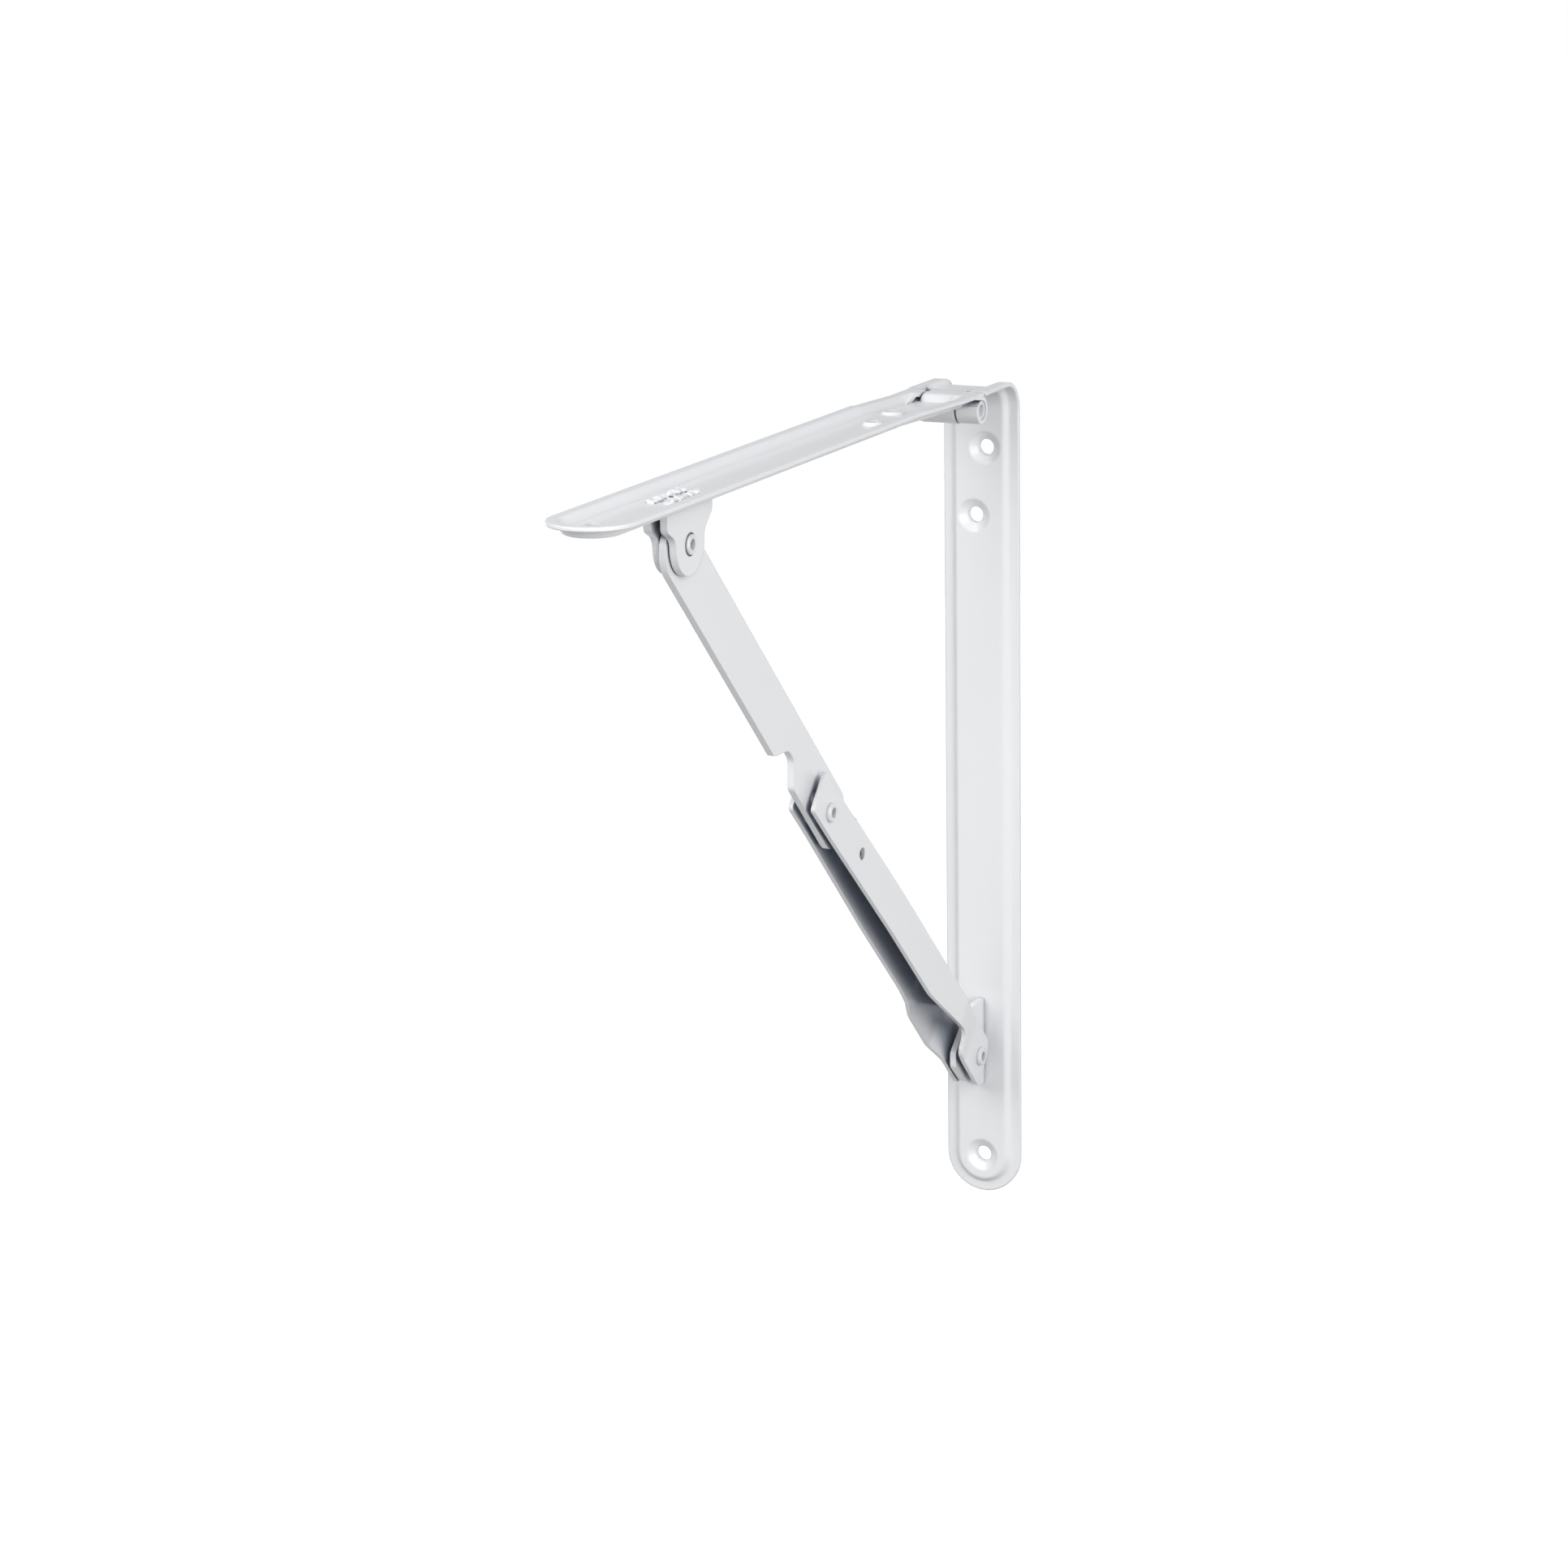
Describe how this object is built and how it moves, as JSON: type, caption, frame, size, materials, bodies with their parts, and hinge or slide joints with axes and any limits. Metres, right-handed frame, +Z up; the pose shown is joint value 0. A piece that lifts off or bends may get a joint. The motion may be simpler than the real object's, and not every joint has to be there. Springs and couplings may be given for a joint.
{
  "type": "folding shelf bracket",
  "caption": "Folding shelf bracket: a pressed steel wall plate and shelf arm hinged at the top, held square by a two-piece strut that locks over centre and folds flat.",
  "frame": {"origin": "on the wall plane, at the centre of the lowest screw hole of the wall plate", "axes": "+Y into the wall, so the shelf arm reaches out along -Y; +Z up, square to the shelf; +X across the bracket's width"},
  "size_m": [0.03, 0.33, 0.318],
  "materials": {
    "white_coat": "glossy white powder coat",
    "coated_rivet": "glossy white powder coat over a set steel rivet",
    "coated_washer": "white powder coat, thin in the joint"
  },
  "bodies": {
    "wall": {"wall_plate": "white_coat", "foot_lug": "white_coat", "hinge_pin": "coated_rivet"},
    "channel": {"strut_channel": "white_coat", "knee_rivet": "coated_rivet", "foot_rivet": "coated_rivet", "knee_washer_near": "coated_washer", "knee_washer_far": "coated_washer", "foot_washer_near": "coated_washer", "foot_washer_far": "coated_washer"},
    "bar": {"strut_bar": "white_coat"},
    "arm": {"shelf_arm": "white_coat", "clevis_ear_left": "white_coat", "clevis_ear_right": "white_coat", "arm_rivet": "coated_rivet"}
  },
  "joints": [
    {"name": "foot_fold", "type": "hinge", "parent": "wall", "child": "channel", "pos_m": [0, -0.0175, 0.0442], "axis": [1, 0, 0], "range_deg": [-46.59, 0]},
    {"name": "knee_fold", "type": "hinge", "parent": "channel", "child": "bar", "pos_m": [0, -0.15202, 0.17147], "axis": [1, 0, 0], "range_deg": [0, 180.86]},
    {"name": "arm_fold", "type": "hinge", "parent": "bar", "child": "arm", "pos_m": [0, -0.256, 0.2847], "axis": [1, 0, 0], "range_deg": [-44.27, 0]}
  ],
  "couplings": [
    {"joint": "knee_fold", "follows": "foot_fold", "ratio": -3.8821},
    {"joint": "arm_fold", "follows": "foot_fold", "ratio": 0.95026}
  ]
}
